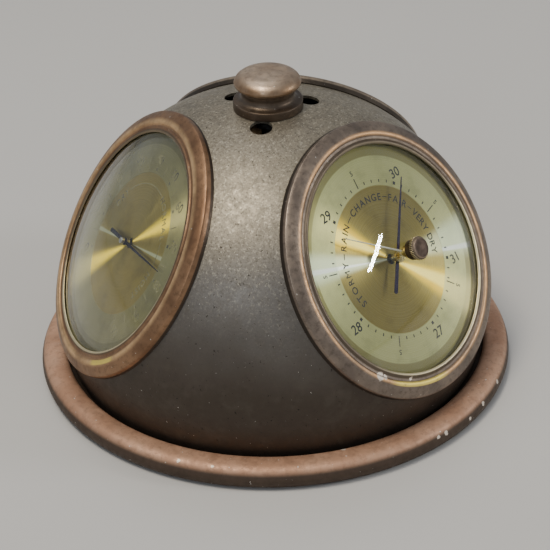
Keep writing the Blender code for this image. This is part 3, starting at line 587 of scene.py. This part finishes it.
AGED_RING_HIGHLIGHTS = ((42.5, 9.5, RING_SHINE, 0.22), (-137.5, 9.5, RING_SHINE, 0.22))
GOLD = {"colour": (0.40, 0.31, 0.085), "pale": (0.50, 0.39, 0.12),
        "roughness": 0.40, "anisotropy": 1.0}
CREAM = {"colour": (0.60, 0.585, 0.265), "pale": (0.68, 0.66, 0.32),
         "roughness": 0.50, "anisotropy": 0.9}
OLIVE = {"colour": (0.38, 0.345, 0.160), "pale": (0.46, 0.420, 0.200),
         "roughness": 0.50, "anisotropy": 0.9}
DISC = dial_material("spun_gold", painted_wedges=DISC_HIGHLIGHTS, **GOLD)
# Beyond the scale ring the dials are darker: a painted reflection of the bezel's inner rim.
CHAPTER = dial_material("scale_ring", painted_wedges=RING_HIGHLIGHTS,
                        edge=(CHAPTER_R, (0.36, 0.32, 0.12)), **CREAM)
AGED_DISC = dial_material("aged_gold", painted_wedges=AGED_DISC_HIGHLIGHTS, **GOLD)
AGED_CHAPTER = dial_material("aged_ring", painted_wedges=AGED_RING_HIGHLIGHTS,
                             edge=(CHAPTER_R, (0.30, 0.27, 0.11)), **OLIVE)
DIALS = {"barometer": (CHAPTER, DISC), "hygrometer": (AGED_CHAPTER, AGED_DISC),
         "thermometer": (AGED_CHAPTER, AGED_DISC)}
POINTER = soft_material("pale_pointer", (0.70, 0.68, 0.60), 1.0, 0.05, own=True)
INK = ink_material("dial_ink", (0.008, 0.007, 0.005), (0.035, 0.030, 0.020), 0.50, 0.85)
FADED_INK = ink_material("faded_ink", (0.045, 0.042, 0.028), (0.26, 0.235, 0.115), 0.36, 0.54)
RUBBER = soft_material("gasket_rubber", (0.16, 0.145, 0.075), 1.5, 0.2)
FELT = soft_material("green_felt", (0.02, 0.06, 0.035), 1.2, 0.8)
CAD_BRASS = metal_material("movement_brass", (0.50, 0.38, 0.17), 0.34, own=False)
CASE_BRASS = metal_material("case_brass", (0.070, 0.052, 0.034), 0.60, own=False)
CAD_STEEL = metal_material("movement_steel", (0.50, 0.50, 0.50), 0.34, own=False)
CAD_BIMETAL = metal_material("bimetal_strip", (0.50, 0.36, 0.26), 0.35, own=False)


# ---- housing -------------------------------------------------------------------------------
def crown_drop(radius):
    """How far the flatter crown lies below the sphere."""
    return CROWN_DROP * (1 - (radius / CROWN_R) ** 4) ** 2 if radius < CROWN_R else 0.0


def rod_cutter(radius, low, high, matrix, steps):
    """A round rod to cut a hole with, along a place's Z."""
    shape = bmesh.new()
    outline = arc((0, 0), radius, 0, 360 - 360 / steps, steps - 1)
    prism(shape, outline, low, high)
    mesh = bpy.data.meshes.new("cutter")
    shape.to_mesh(mesh)
    shape.free()
    mesh.transform(Matrix.Scale(MM, 4))
    cutter = bpy.data.objects.new("cutter", mesh)
    bpy.context.scene.collection.objects.link(cutter)
    cutter.matrix_world = matrix
    return cutter


def make_dome():
    """The spun shell, cut for the instruments and for the air holes."""
    inner_r = DOME_R - DOME_WALL
    low_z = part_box("dome_shell")[0][2] / MM
    top = degrees(acos(CROWN_HOLE_R / DOME_R))
    low = degrees(asin((low_z - DOME_CENTRE_Z) / DOME_R))
    low_inner = degrees(asin((low_z - DOME_CENTRE_Z) / inner_r))
    profile = arc((0, DOME_CENTRE_Z), DOME_R, top, low, 72)
    profile += arc((0, DOME_CENTRE_Z), inner_r, low_inner, top, 36)
    profile = [(r, z - crown_drop(r)) for r, z in profile]
    dome = lathe("dome", profile, 180, BASE, "housing", "dome_shell", closed=True)
    cutters = []
    for seat in SEATS.values():
        cutters.append(rod_cutter(OPENING_R, -22, 25, seat, 128))
        azimuth = atan2(seat.translation.x, -seat.translation.y) + radians(60)
        vent = Matrix.Rotation(azimuth, 4, "Z") @ Matrix.Translation((0, -VENT_CIRCLE_R * MM, 0))
        cutters.append(rod_cutter(VENT_R, 106, 126, vent, 48))
    carve(dome, BASE, cutters)
    assign(dome, DOME)


def make_ring():
    """The rounded base ring that the dome stands in."""
    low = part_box("base_ring")[0][2] / MM
    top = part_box("base_ring")[1][2] / MM
    outside = flow([(89.0, 8.3), (89.4, 9.2), (90.8, top - 0.15), (93.4, top), (96.4, top - 0.35),
                    (98.3, top - 1.3), (99.4, 7.0), (RING_R, 5.0), (99.8, 3.2), (98.9, 1.4),
                    (97.5, low)])
    under = [(87.6, low), (87.6, 3.0), (82.0, 3.0), (82.0, 4.6), (89.0, 4.6)]
    ring = lathe("ring", outside + under, 200, BASE, "housing", "base_ring", closed=True)
    assign(ring, RING_COPPER)


def make_finial():
    """The turned knob on the crown: a round cap on a waisted neck and a flat foot."""
    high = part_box("finial")[1][2] / MM
    under = [(r, DOME_CENTRE_Z + sqrt(DOME_R ** 2 - r ** 2) - crown_drop(r) + 0.3)
             for r in (14.1, 11.0, 7.0, 3.3)]
    rim = under[0][1] + 3.3
    cap = flow([(0.0, high), (4.0, high - 0.05), (8.0, high - 0.2), (10.0, high - 0.6),
                (11.4, high - 1.2), (12.6, high - 2.2), (13.3, high - 3.3), (13.5, high - 4.2),
                (13.1, high - 5.2), (11.9, high - 5.9)], 5)
    neck = flow([(11.9, high - 5.9), (11.1, rim + 4.8), (10.7, rim + 3.3), (10.7, rim + 2.4),
                 (11.1, rim + 1.3), (12.1, rim + 0.5), (13.5, rim + 0.1)], 5)
    foot = flow([(13.5, rim + 0.1), (13.95, rim - 0.1), (14.1, rim - 0.6)], 4) + under
    bore = [(3.3, 123.5), (0.0, 123.5)]
    profile = cap + neck[1:] + foot[1:] + bore
    finial = lathe("finial_knob", profile, 96, BASE, "housing", "finial")
    assign(finial, FINIAL_COPPER)


def make_bezel(name, seat):
    """A rim with a thin lip round the glass, a cove, a crest and a slope to the dome."""
    crown = flow([(LIP_R, 2.75), (LIP_R + 0.15, 3.0), (46.9, 3.2), (47.6, 3.2), (48.2, 2.75),
                  (48.9, 2.45), (49.5, 2.65), (50.0, 3.05), (50.5, 3.2), (51.4, 3.15), (53.2, 2.6),
                  (54.9, 1.75), (55.8, 1.15), (56.15, 0.8), (BEZEL_R, 0.35)], 5)
    under = [(BEZEL_R, -0.8), (BEZEL_R, -2.45), (56.15, -2.6), (55.3, -1.7), (51.2, 1.2),
             (51.2, -6.0), (50.3, -6.0), (50.3, 2.6), (LIP_R + 0.05, 2.6)]
    bezel = lathe(name + "_rim", crown + under, 192, seat, "housing",
                  name + "_bezel", closed=True)
    assign(bezel, RIMS[name])


def crown_height(radius, top_z):
    """Height of a glass's domed face at a radius, with top_z at its middle."""
    drop = GLASS_CENTRE_Z[1] - GLASS_RIM_Z[1]
    sphere_r = (GLASS_CROWN_R ** 2 + drop ** 2) / (2 * drop)
    return top_z - sphere_r + sqrt(sphere_r ** 2 - radius ** 2)


def make_glass(name, seat, hole=None):
    """A domed glass, with a hole in it where the setting knob's stem goes through."""
    radii = [GLASS_CROWN_R * i / 40 for i in range(41)]
    top = [(r, crown_height(r, GLASS_CENTRE_Z[1])) for r in radii]
    rim = [(GLASS_R, GLASS_RIM_Z[1]), (GLASS_R, GLASS_RIM_Z[0]), (46.8, GLASS_RIM_Z[0])]
    under = [(r, crown_height(r, GLASS_CENTRE_Z[0])) for r in reversed(radii)]
    glass = lathe(name + "_crystal", top + rim + under, 160, seat, "housing", name + "_glass")
    if hole is not None:
        carve(glass, seat, [rod_cutter(STEM_HOLE_R, 5, 16, hole, 32)])
    assign(glass, GLASS)


# ---- dials -----------------------------------------------------------------------------------
def make_dial(name, seat):
    """A flat scale ring with a spun disc let into its middle."""
    ring = [(DIAL_R, 0.0), (DIAL_R, DIAL_BACK), (ARBOR_HOLE_R, DIAL_BACK),
            (ARBOR_HOLE_R, -DISC_STEP - 0.1), (ARBOR_HOLE_R + 0.1, -DISC_STEP)]
    disc = [(ARBOR_HOLE_R + (DISC_R - ARBOR_HOLE_R) * i / 24, -DISC_STEP) for i in range(1, 25)]
    flat = [(DISC_R + 0.1, -0.02)]
    flat += [(DISC_R + (DIAL_R - DISC_R) * i / 12, 0.0) for i in range(1, 12)]
    shape = lathe_shape(ring + disc + flat, 256, closed=True)
    for face in shape.faces:
        middle = face.calc_center_median()
        face.material_index = 1 if hypot(middle.x, middle.y) < DISC_R and middle.z > -0.3 else 0
    dial = finish_mesh(name + "_face", shape, seat, "housing", name + "_dial")
    assign(dial, *DIALS[name])


PRINT_HEIGHT = 0.04
PRINT_GAP = 0.01              # between the dial and the print's underside
RING_LEVEL = PRINT_HEIGHT / 2 + PRINT_GAP
DISC_LEVEL = -DISC_STEP + PRINT_HEIGHT / 2 + PRINT_GAP
GLYPHS = {}


def glyph(text, size):
    """Outline faces of a word or figure, centred, as (points, faces, width)."""
    if (text, size) not in GLYPHS:
        curve = bpy.data.curves.new("glyph", "FONT")
        curve.body = text
        curve.size = size
        curve.resolution_u = 3
        curve.align_x = "CENTER"
        curve.extrude = PRINT_HEIGHT / 2
        curve.offset = 0.0 if "M" in text else 0.011 * size     # a bolder M would fill up
        holder = bpy.data.objects.new("glyph", curve)
        bpy.context.scene.collection.objects.link(holder)
        bpy.context.view_layer.update()
        mesh = holder.to_mesh()
        points = [v.co.copy() for v in mesh.vertices]
        faces = [tuple(p.vertices) for p in mesh.polygons]
        holder.to_mesh_clear()
        bpy.data.objects.remove(holder, do_unlink=True)
        width = max(p.x for p in points) - min(p.x for p in points)
        tall = (max(p.y for p in points) + min(p.y for p in points)) / 2
        points = [p - Vector((0, tall, 0)) for p in points]
        GLYPHS[(text, size)] = (points, faces, width)
    return GLYPHS[(text, size)]


def stamp(shape, text, size, x, y, turn, level):
    """A word or figure at a place on the dial, turned clockwise."""
    points, faces, _ = glyph(text, size)
    place = Matrix.Translation((x, y, level)) @ Matrix.Rotation(radians(-turn), 4, "Z")
    verts = [shape.verts.new(place @ p) for p in points]
    for face in faces:
        shape.faces.new([verts[i] for i in face])


def polar(radius, angle):
    """A point on the dial: the angle runs clockwise from the top."""
    return radius * sin(radians(angle)), radius * cos(radians(angle))


def bar(shape, radius_low, radius_high, width, angle, level):
    """A short radial stroke."""
    corners = [(-width / 2, radius_low), (width / 2, radius_low), (width / 2, radius_high),
               (-width / 2, radius_high)]
    a = radians(-angle)
    turned = [(x * cos(a) - y * sin(a), x * sin(a) + y * cos(a)) for x, y in corners]
    prism(shape, turned, level - PRINT_HEIGHT / 2, level + PRINT_HEIGHT / 2)


def curved_word(shape, word, size, radius, middle, level):
    """Letters along a circle, tops outward, reading clockwise; returns its half angle."""
    gap = (0.22 if len(word) < 8 else 0.10) * size
    widths = [glyph(letter, size)[2] if letter != " " else 0.18 * size for letter in word]
    total = sum(widths) + gap * (len(word) - 1)
    reached = -total / 2
    for letter, width in zip(word, widths):
        angle = middle + degrees((reached + width / 2) / radius)
        if letter != " ":
            stamp(shape, letter, size, *polar(radius, angle), angle, level)
        reached += width + gap
    return degrees(total / 2 / radius)


WORD_R = 25.4
WORD_SIZE = 4.1


def word_ring(shape, words):
    """Words round the disc, with thin arcs between neighbours."""
    ends = []
    for word, middle in words:
        half = curved_word(shape, word, WORD_SIZE, WORD_R, middle, DISC_LEVEL)
        ends.append((middle - half, middle + half))
    for (_, start), (end, _) in zip(ends, ends[1:]):
        arc_strip(shape, WORD_R, 0.32, start + 2.2, end - 2.2, DISC_LEVEL)


def arc_strip(shape, radius, width, start, end, level):
    """A thin line along a circle, between two angles."""
    steps = max(2, int((end - start) / 2))
    outer = [polar(radius + width / 2, start + (end - start) * i / steps) for i in range(steps + 1)]
    inner = [polar(radius - width / 2, start + (end - start) * i / steps) for i in range(steps + 1)]
    prism(shape, inner + outer[::-1], level - PRINT_HEIGHT / 2, level + PRINT_HEIGHT / 2)


FIGURE_R = 36.4
FIGURE_SIZE = 5.6
HALF_FIGURE_R = 37.6
HALF_FIGURE_SIZE = 2.9
DOT = (31.2, 32.5, 1.25)          # inner radius, outer radius and width of each kind of mark
LONG_TICK = (31.0, 35.4, 0.42)
TICK = (31.3, 32.5, 0.5)


def print_scale(shape, low, high, step, to_angle, numbers, halves):
    """Ticks, dots and figures round the scale ring: a dot and a figure at each of the
    numbers, and a long tick at each of the halves."""
    for i in range(round((high - low) / step) + 1):
        value = low + i * step
        if any(abs(value - n) < step / 10 for n in numbers):
            mark = DOT
        elif any(abs(value - n) < step / 10 for n in halves):
            mark = LONG_TICK
        else:
            mark = TICK
        bar(shape, *mark, to_angle(value), RING_LEVEL)
    for value in numbers:
        stamp(shape, f"{value:g}", FIGURE_SIZE, *polar(FIGURE_R, to_angle(value)), 0.0, RING_LEVEL)


def finish_print(name, shape, seat):
    bmesh.ops.recalc_face_normals(shape, faces=shape.faces)
    ink = finish_mesh(name + "_print", shape, seat, "housing")
    assign(ink, FADED_INK if name == "hygrometer" else INK)


def barometer_angle(inches):
    """Inches of mercury: 29.5 is at the top, and an inch takes 76 degrees."""
    return (inches - 29.5) * 76.0


def humidity_angle(percent):
    """Relative humidity: 50 is just right of the top, and one takes 2.65 degrees."""
    return (percent - 50.0) * 2.65 + 10.5


def temperature_angle(fahrenheit):
    """Fahrenheit: 60 is just left of the top, and a degree of it takes 1.85."""
    return (fahrenheit - 60.0) * 1.85 - 5.0


def make_barometer_print(seat):
    shape = bmesh.new()
    halves = [26.5 + i for i in range(5)]
    print_scale(shape, 26.5, 31.2, 0.1, barometer_angle, [27, 28, 29, 30, 31], halves)
    for value in halves:
        angle = barometer_angle(value)
        stamp(shape, "5", HALF_FIGURE_SIZE, *polar(HALF_FIGURE_R, angle), angle, RING_LEVEL)
    word_ring(shape, (("STORMY", -90), ("RAIN", -46), ("CHANGE", 0), ("FAIR", 43),
                      ("VERY DRY", 86.5)))
    finish_print("barometer", shape, seat)


def make_hygrometer_print(seat):
    shape = bmesh.new()
    print_scale(shape, 0, 100, 5, humidity_angle, range(0, 101, 10), range(5, 100, 10))
    word_ring(shape, (("DRY", -68), ("NORMAL", 36), ("MOIST", 106)))
    finish_print("hygrometer", shape, seat)


def make_thermometer_print(seat):
    shape = bmesh.new()
    print_scale(shape, 0, 120, 2, temperature_angle, range(0, 121, 20), range(10, 120, 20))
    word_ring(shape, (("COLD", -80), ("MILD", 0), ("HOT", 80)))
    finish_print("thermometer", shape, seat)


# ---- hands and knobs ----------------------------------------------------------------------------
# Each needle's length and height over the dial, its angle at rest, and the height, radius
# and thickness of its hub cap.
HANDS = {"barometer": {"tip": 34.0, "z": 3.4, "angle": 39.0, "cap": (4.1, 2.45, 1.3)},
         "hygrometer": {"tip": 35.5, "z": 2.1, "angle": 81.0, "cap": (2.9, 1.3, 1.7)},
         "thermometer": {"tip": 35.5, "z": 2.1, "angle": -20.0, "cap": (2.9, 1.3, 1.7)}}
HAND_TAIL = 15.2
HAND_THICKNESS = 0.4


def make_hand(name, seat):
    """A needle with a counterweight tail, and the cap on its hub."""
    hand = HANDS[name]
    tip = hand["tip"]
    tail = arc((0, -HAND_TAIL + 0.95), 0.95, 195, 345, 14)
    waist = flow([(0.93, -HAND_TAIL + 0.7), (0.80, -7.0), (0.85, -2.2)], 4)[1:]
    boss = arc((0, 0), 1.5, -50, 60, 12)
    blade = flow([(0.70, 2.2), (0.60, 8.0), (0.42, 22.0), (0.18, tip - 0.25)], 4)
    right = waist + boss + blade
    outline = tail + right + [(0.0, tip)] + [(-x, y) for x, y in reversed(right)]
    shape = bmesh.new()
    prism(shape, outline, 0.0, HAND_THICKNESS)
    place = raised(seat, hand["z"], hand["angle"])
    piece = finish_mesh(name + "_needle_blade", shape, place, NEEDLES[name],
                        name + "_hand", bevel=0.09)
    assign(piece, BLUED)
    low, radius, height = hand["cap"]
    cap = [(radius * sin(radians(a)), low + height * (0.75 + 0.25 * cos(radians(a))))
           for a in range(0, 90, 12)]
    cap += [(radius, low + height * 0.55), (radius, low + 0.12), (radius - 0.12, low), (0.0, low)]
    slot, metal = ("brass", BRASS) if name == "barometer" else ("steel", STEEL)
    hub = lathe(name + "_hub", cap, 40, seat, NEEDLES[name], name + "_hub_cap")
    assign(hub, metal)


POINTER_Z = 8.0               # height of the setting hand's axis over the dial
POINTER_ANGLE = -53.5         # where it points at rest
POINTER_SLOPE = 6.2           # how far it leans towards the dial


def knob_ripple(first, last, count, depth):
    """Knurling on some rings of a profile."""
    def scale(i, angle):
        if not first <= i <= last:
            return 1.0
        return 1.0 - depth * (0.5 - 0.5 * cos(count * angle))
    return scale


def make_setting_knob():
    """The knurled knob, its stem and bush through the glass, and the setting hand."""
    joint = next(j for j in frame["joints"] if j["name"] == "setting_knob_turn")
    seat = SEATS["barometer"].copy()
    seat.translation = Vector(joint["pos_m"])
    low, top, radius = KNOB_LOW, KNOB_TOP, KNOB_R
    face = [(0.0, top - 0.06), (2.4, top - 0.06), (3.4, top), (3.85, top - 0.05), (4.3, top - 0.4)]
    knurl = [(4.62, top - 0.6), (radius, top - 0.8), (radius, top - 2.1), (4.6, top - 2.3)]
    collar = [(4.2, top - 2.45), (4.15, top - 2.6), (4.12, low + 0.4), (4.0, low + 0.05),
              (3.85, low), (3.4, low), (3.4, 12.5), (1.1, 12.5), (1.1, 14.9), (0.0, 14.9)]
    ripple = knob_ripple(len(face), len(face) + len(knurl) - 1, 40, 0.07)
    knob = lathe("knob", face + knurl + collar, 240, seat, "setting_hand", "set_knob",
                 ripple=ripple, sharp=30)
    assign(knob, KNOB)
    stem = [(0.0, 14.6), (0.8, 14.6), (0.8, 8.5), (1.4, 8.5), (1.5, 8.3), (1.5, 7.1), (1.4, 7.0),
            (0.0, 7.0)]
    assign(lathe("stem", stem, 40, seat, "setting_hand", "set_stem"), BRASS)
    bush = [(1.1, 12.2), (2.8, 12.2), (3.0, 12.05), (3.0, 11.65), (1.9, 11.6), (1.9, 9.3), (2.6, 9.3),
            (2.6, 8.9), (1.1, 8.9)]
    assign(lathe("bush", bush, 48, seat, "housing", "set_bush", closed=True), BRASS)
    rod = [(0.0, 29.3), (0.1, 29.25), (0.17, 28.6), (0.38, 4.0), (0.38, 1.9), (0.3, 1.8), (0.0, 1.8)]
    slope = Matrix.Rotation(radians(-90.0 - POINTER_SLOPE), 4, "X")
    place = raised(seat, POINTER_Z, POINTER_ANGLE) @ slope
    assign(lathe("setting_pointer", rod, 24, place, "setting_hand", "set_hand"), POINTER)
    return seat


def finish_cad_nodes():
    """Procedural finishes on the CAD's own pieces, by the slot that each has."""
    finishes = {"brass": CAD_BRASS, "steel": CAD_STEEL, "rubber": RUBBER, "felt": FELT,
                "bimetal": CAD_BIMETAL}
    for part in frame["record"]["subparts"]:
        finish = finishes.get(part["material_slot"])
        if finish is None:
            continue
        node = frame["nodes"][part["node"]]
        for slot in node.material_slots:
            slot.material = CASE_BRASS if part["node"].endswith("_case") else finish


# ---- stage, light and camera -----------------------------------------------------------------------
def make_floor():
    """A table top far wider than the view."""
    shape = bmesh.new()
    bmesh.ops.create_grid(shape, x_segments=4, y_segments=4, size=4.0)
    mesh = bpy.data.meshes.new("floor")
    shape.to_mesh(mesh)
    shape.free()
    floor = bpy.data.objects.new("floor", mesh)
    bpy.context.scene.collection.objects.link(floor)
    assign(floor, floor_material())


LAMP_TARGET = Vector((0, 0, 0.06))


def make_lamp(name, azimuth, elevation, distance, size, watts, colour, roll=0.0):
    """An area lamp on a sphere round the object's middle, facing it."""
    lamp = bpy.data.lights.new(name, "AREA")
    lamp.shape = "RECTANGLE"
    lamp.size, lamp.size_y = size
    lamp.energy = watts
    lamp.color = colour
    holder = bpy.data.objects.new(name, lamp)
    bpy.context.scene.collection.objects.link(holder)
    a, e = radians(azimuth), radians(elevation)
    spot = Vector((sin(a) * cos(e), -cos(a) * cos(e), sin(e))) * distance + LAMP_TARGET
    holder.location = spot
    facing = (spot - LAMP_TARGET).to_track_quat("Z", "Y").to_matrix()
    holder.rotation_euler = (facing @ Matrix.Rotation(radians(roll), 3, "Z")).to_euler()


def make_world():
    """Soft daylight from all round."""
    world = bpy.data.worlds.new("room")
    bpy.context.scene.world = world
    world.use_nodes = True
    back = world.node_tree.nodes["Background"]
    back.inputs["Color"].default_value = (0.80, 0.84, 0.90, 1.0)
    back.inputs["Strength"].default_value = 0.42


CAMERA_AZIMUTH = -49.97       # degrees round the object, from its front
CAMERA_DISTANCE = 715.5
CAMERA_HEIGHT = 478.6
CAMERA_PITCH = 31.64
CAMERA_YAW = 0.06
CAMERA_ROLL = -1.68
CAMERA_LENS = 130.2


def make_camera():
    data = bpy.data.cameras.new("camera")
    data.lens = CAMERA_LENS
    data.sensor_width = 36.0
    data.clip_start = 0.01
    camera = bpy.data.objects.new("camera", data)
    bpy.context.scene.collection.objects.link(camera)
    around = Matrix.Rotation(radians(CAMERA_AZIMUTH), 4, "Z")
    back = Matrix.Translation((0, -CAMERA_DISTANCE * MM, CAMERA_HEIGHT * MM))
    yaw = Matrix.Rotation(radians(-CAMERA_YAW), 4, "Z")
    pitch = Matrix.Rotation(radians(90 - CAMERA_PITCH), 4, "X")
    roll = Matrix.Rotation(radians(CAMERA_ROLL), 4, "Z")
    camera.matrix_world = around @ back @ yaw @ pitch @ roll
    bpy.context.scene.camera = camera


make_camera()
make_world()
make_floor()
make_lamp("ceiling", -95, 72, 1.8, (1.1, 0.8), 10, (1.0, 0.97, 0.93))
make_lamp("bulb", -103, 71, 1.8, (0.45, 0.45), 14, (1.0, 0.89, 0.70))
make_lamp("rear", 145, 58, 2.0, (0.9, 0.7), 4, (1.0, 0.98, 0.96))
make_lamp("window", -72, 30, 2.0, (0.35, 0.35), 4, (0.90, 0.96, 1.0))
make_lamp("tube", 30.5, 23.7, 1.6, (0.42, 0.02), 6, (1.0, 0.99, 0.96), 15)

make_dome()
make_ring()
make_finial()
knob_seat = make_setting_knob()
for instrument, own_seat in SEATS.items():
    make_bezel(instrument, own_seat)
    make_glass(instrument, own_seat, knob_seat if instrument == "barometer" else None)
    make_dial(instrument, own_seat)
    make_hand(instrument, own_seat)
make_barometer_print(SEATS["barometer"])
make_hygrometer_print(SEATS["hygrometer"])
make_thermometer_print(SEATS["thermometer"])
finish_cad_nodes()
